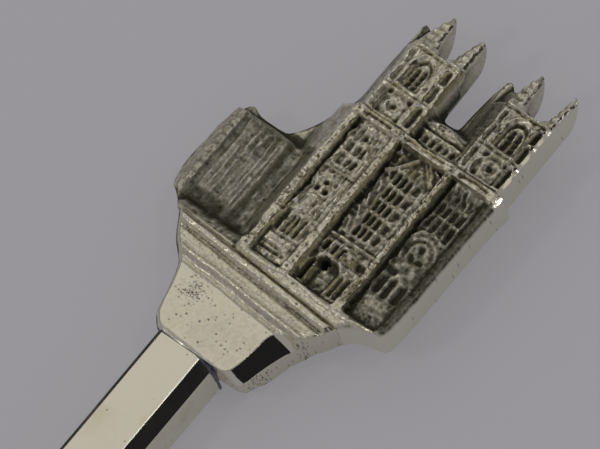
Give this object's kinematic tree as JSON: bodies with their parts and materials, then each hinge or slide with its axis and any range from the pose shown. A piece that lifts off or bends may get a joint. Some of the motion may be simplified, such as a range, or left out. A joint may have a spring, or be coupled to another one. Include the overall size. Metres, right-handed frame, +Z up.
{
  "type": "souvenir spoon",
  "caption": "Silver souvenir spoon: oval bowl, chamfered bar stem and a cast finial in the shape of a twin-towered Gothic church front.",
  "frame": {"origin": "under the middle of the spoon's bounding box, on the plane that it lies on", "axes": "+X from the bowl to the finial, +Z up out of the bowl and out of the finial's face, +Y to the finial's left"},
  "size_m": [0.117, 0.025, 0.0072],
  "materials": {
    "polished_silver": "polished silver with fine wear scratches",
    "stem_silver": "polished silver with dark reflecting chamfers",
    "cast_silver": "cast silver, pitted and worn bright on top, with dark olive tarnish in its recesses",
    "silver_solder": "dull blue-grey silver solder"
  },
  "bodies": {
    "root": {"bowl": "polished_silver", "stem": "stem_silver", "finial": "cast_silver", "finial_solder": "silver_solder", "bowl_solder": "silver_solder"}
  },
  "joints": []
}
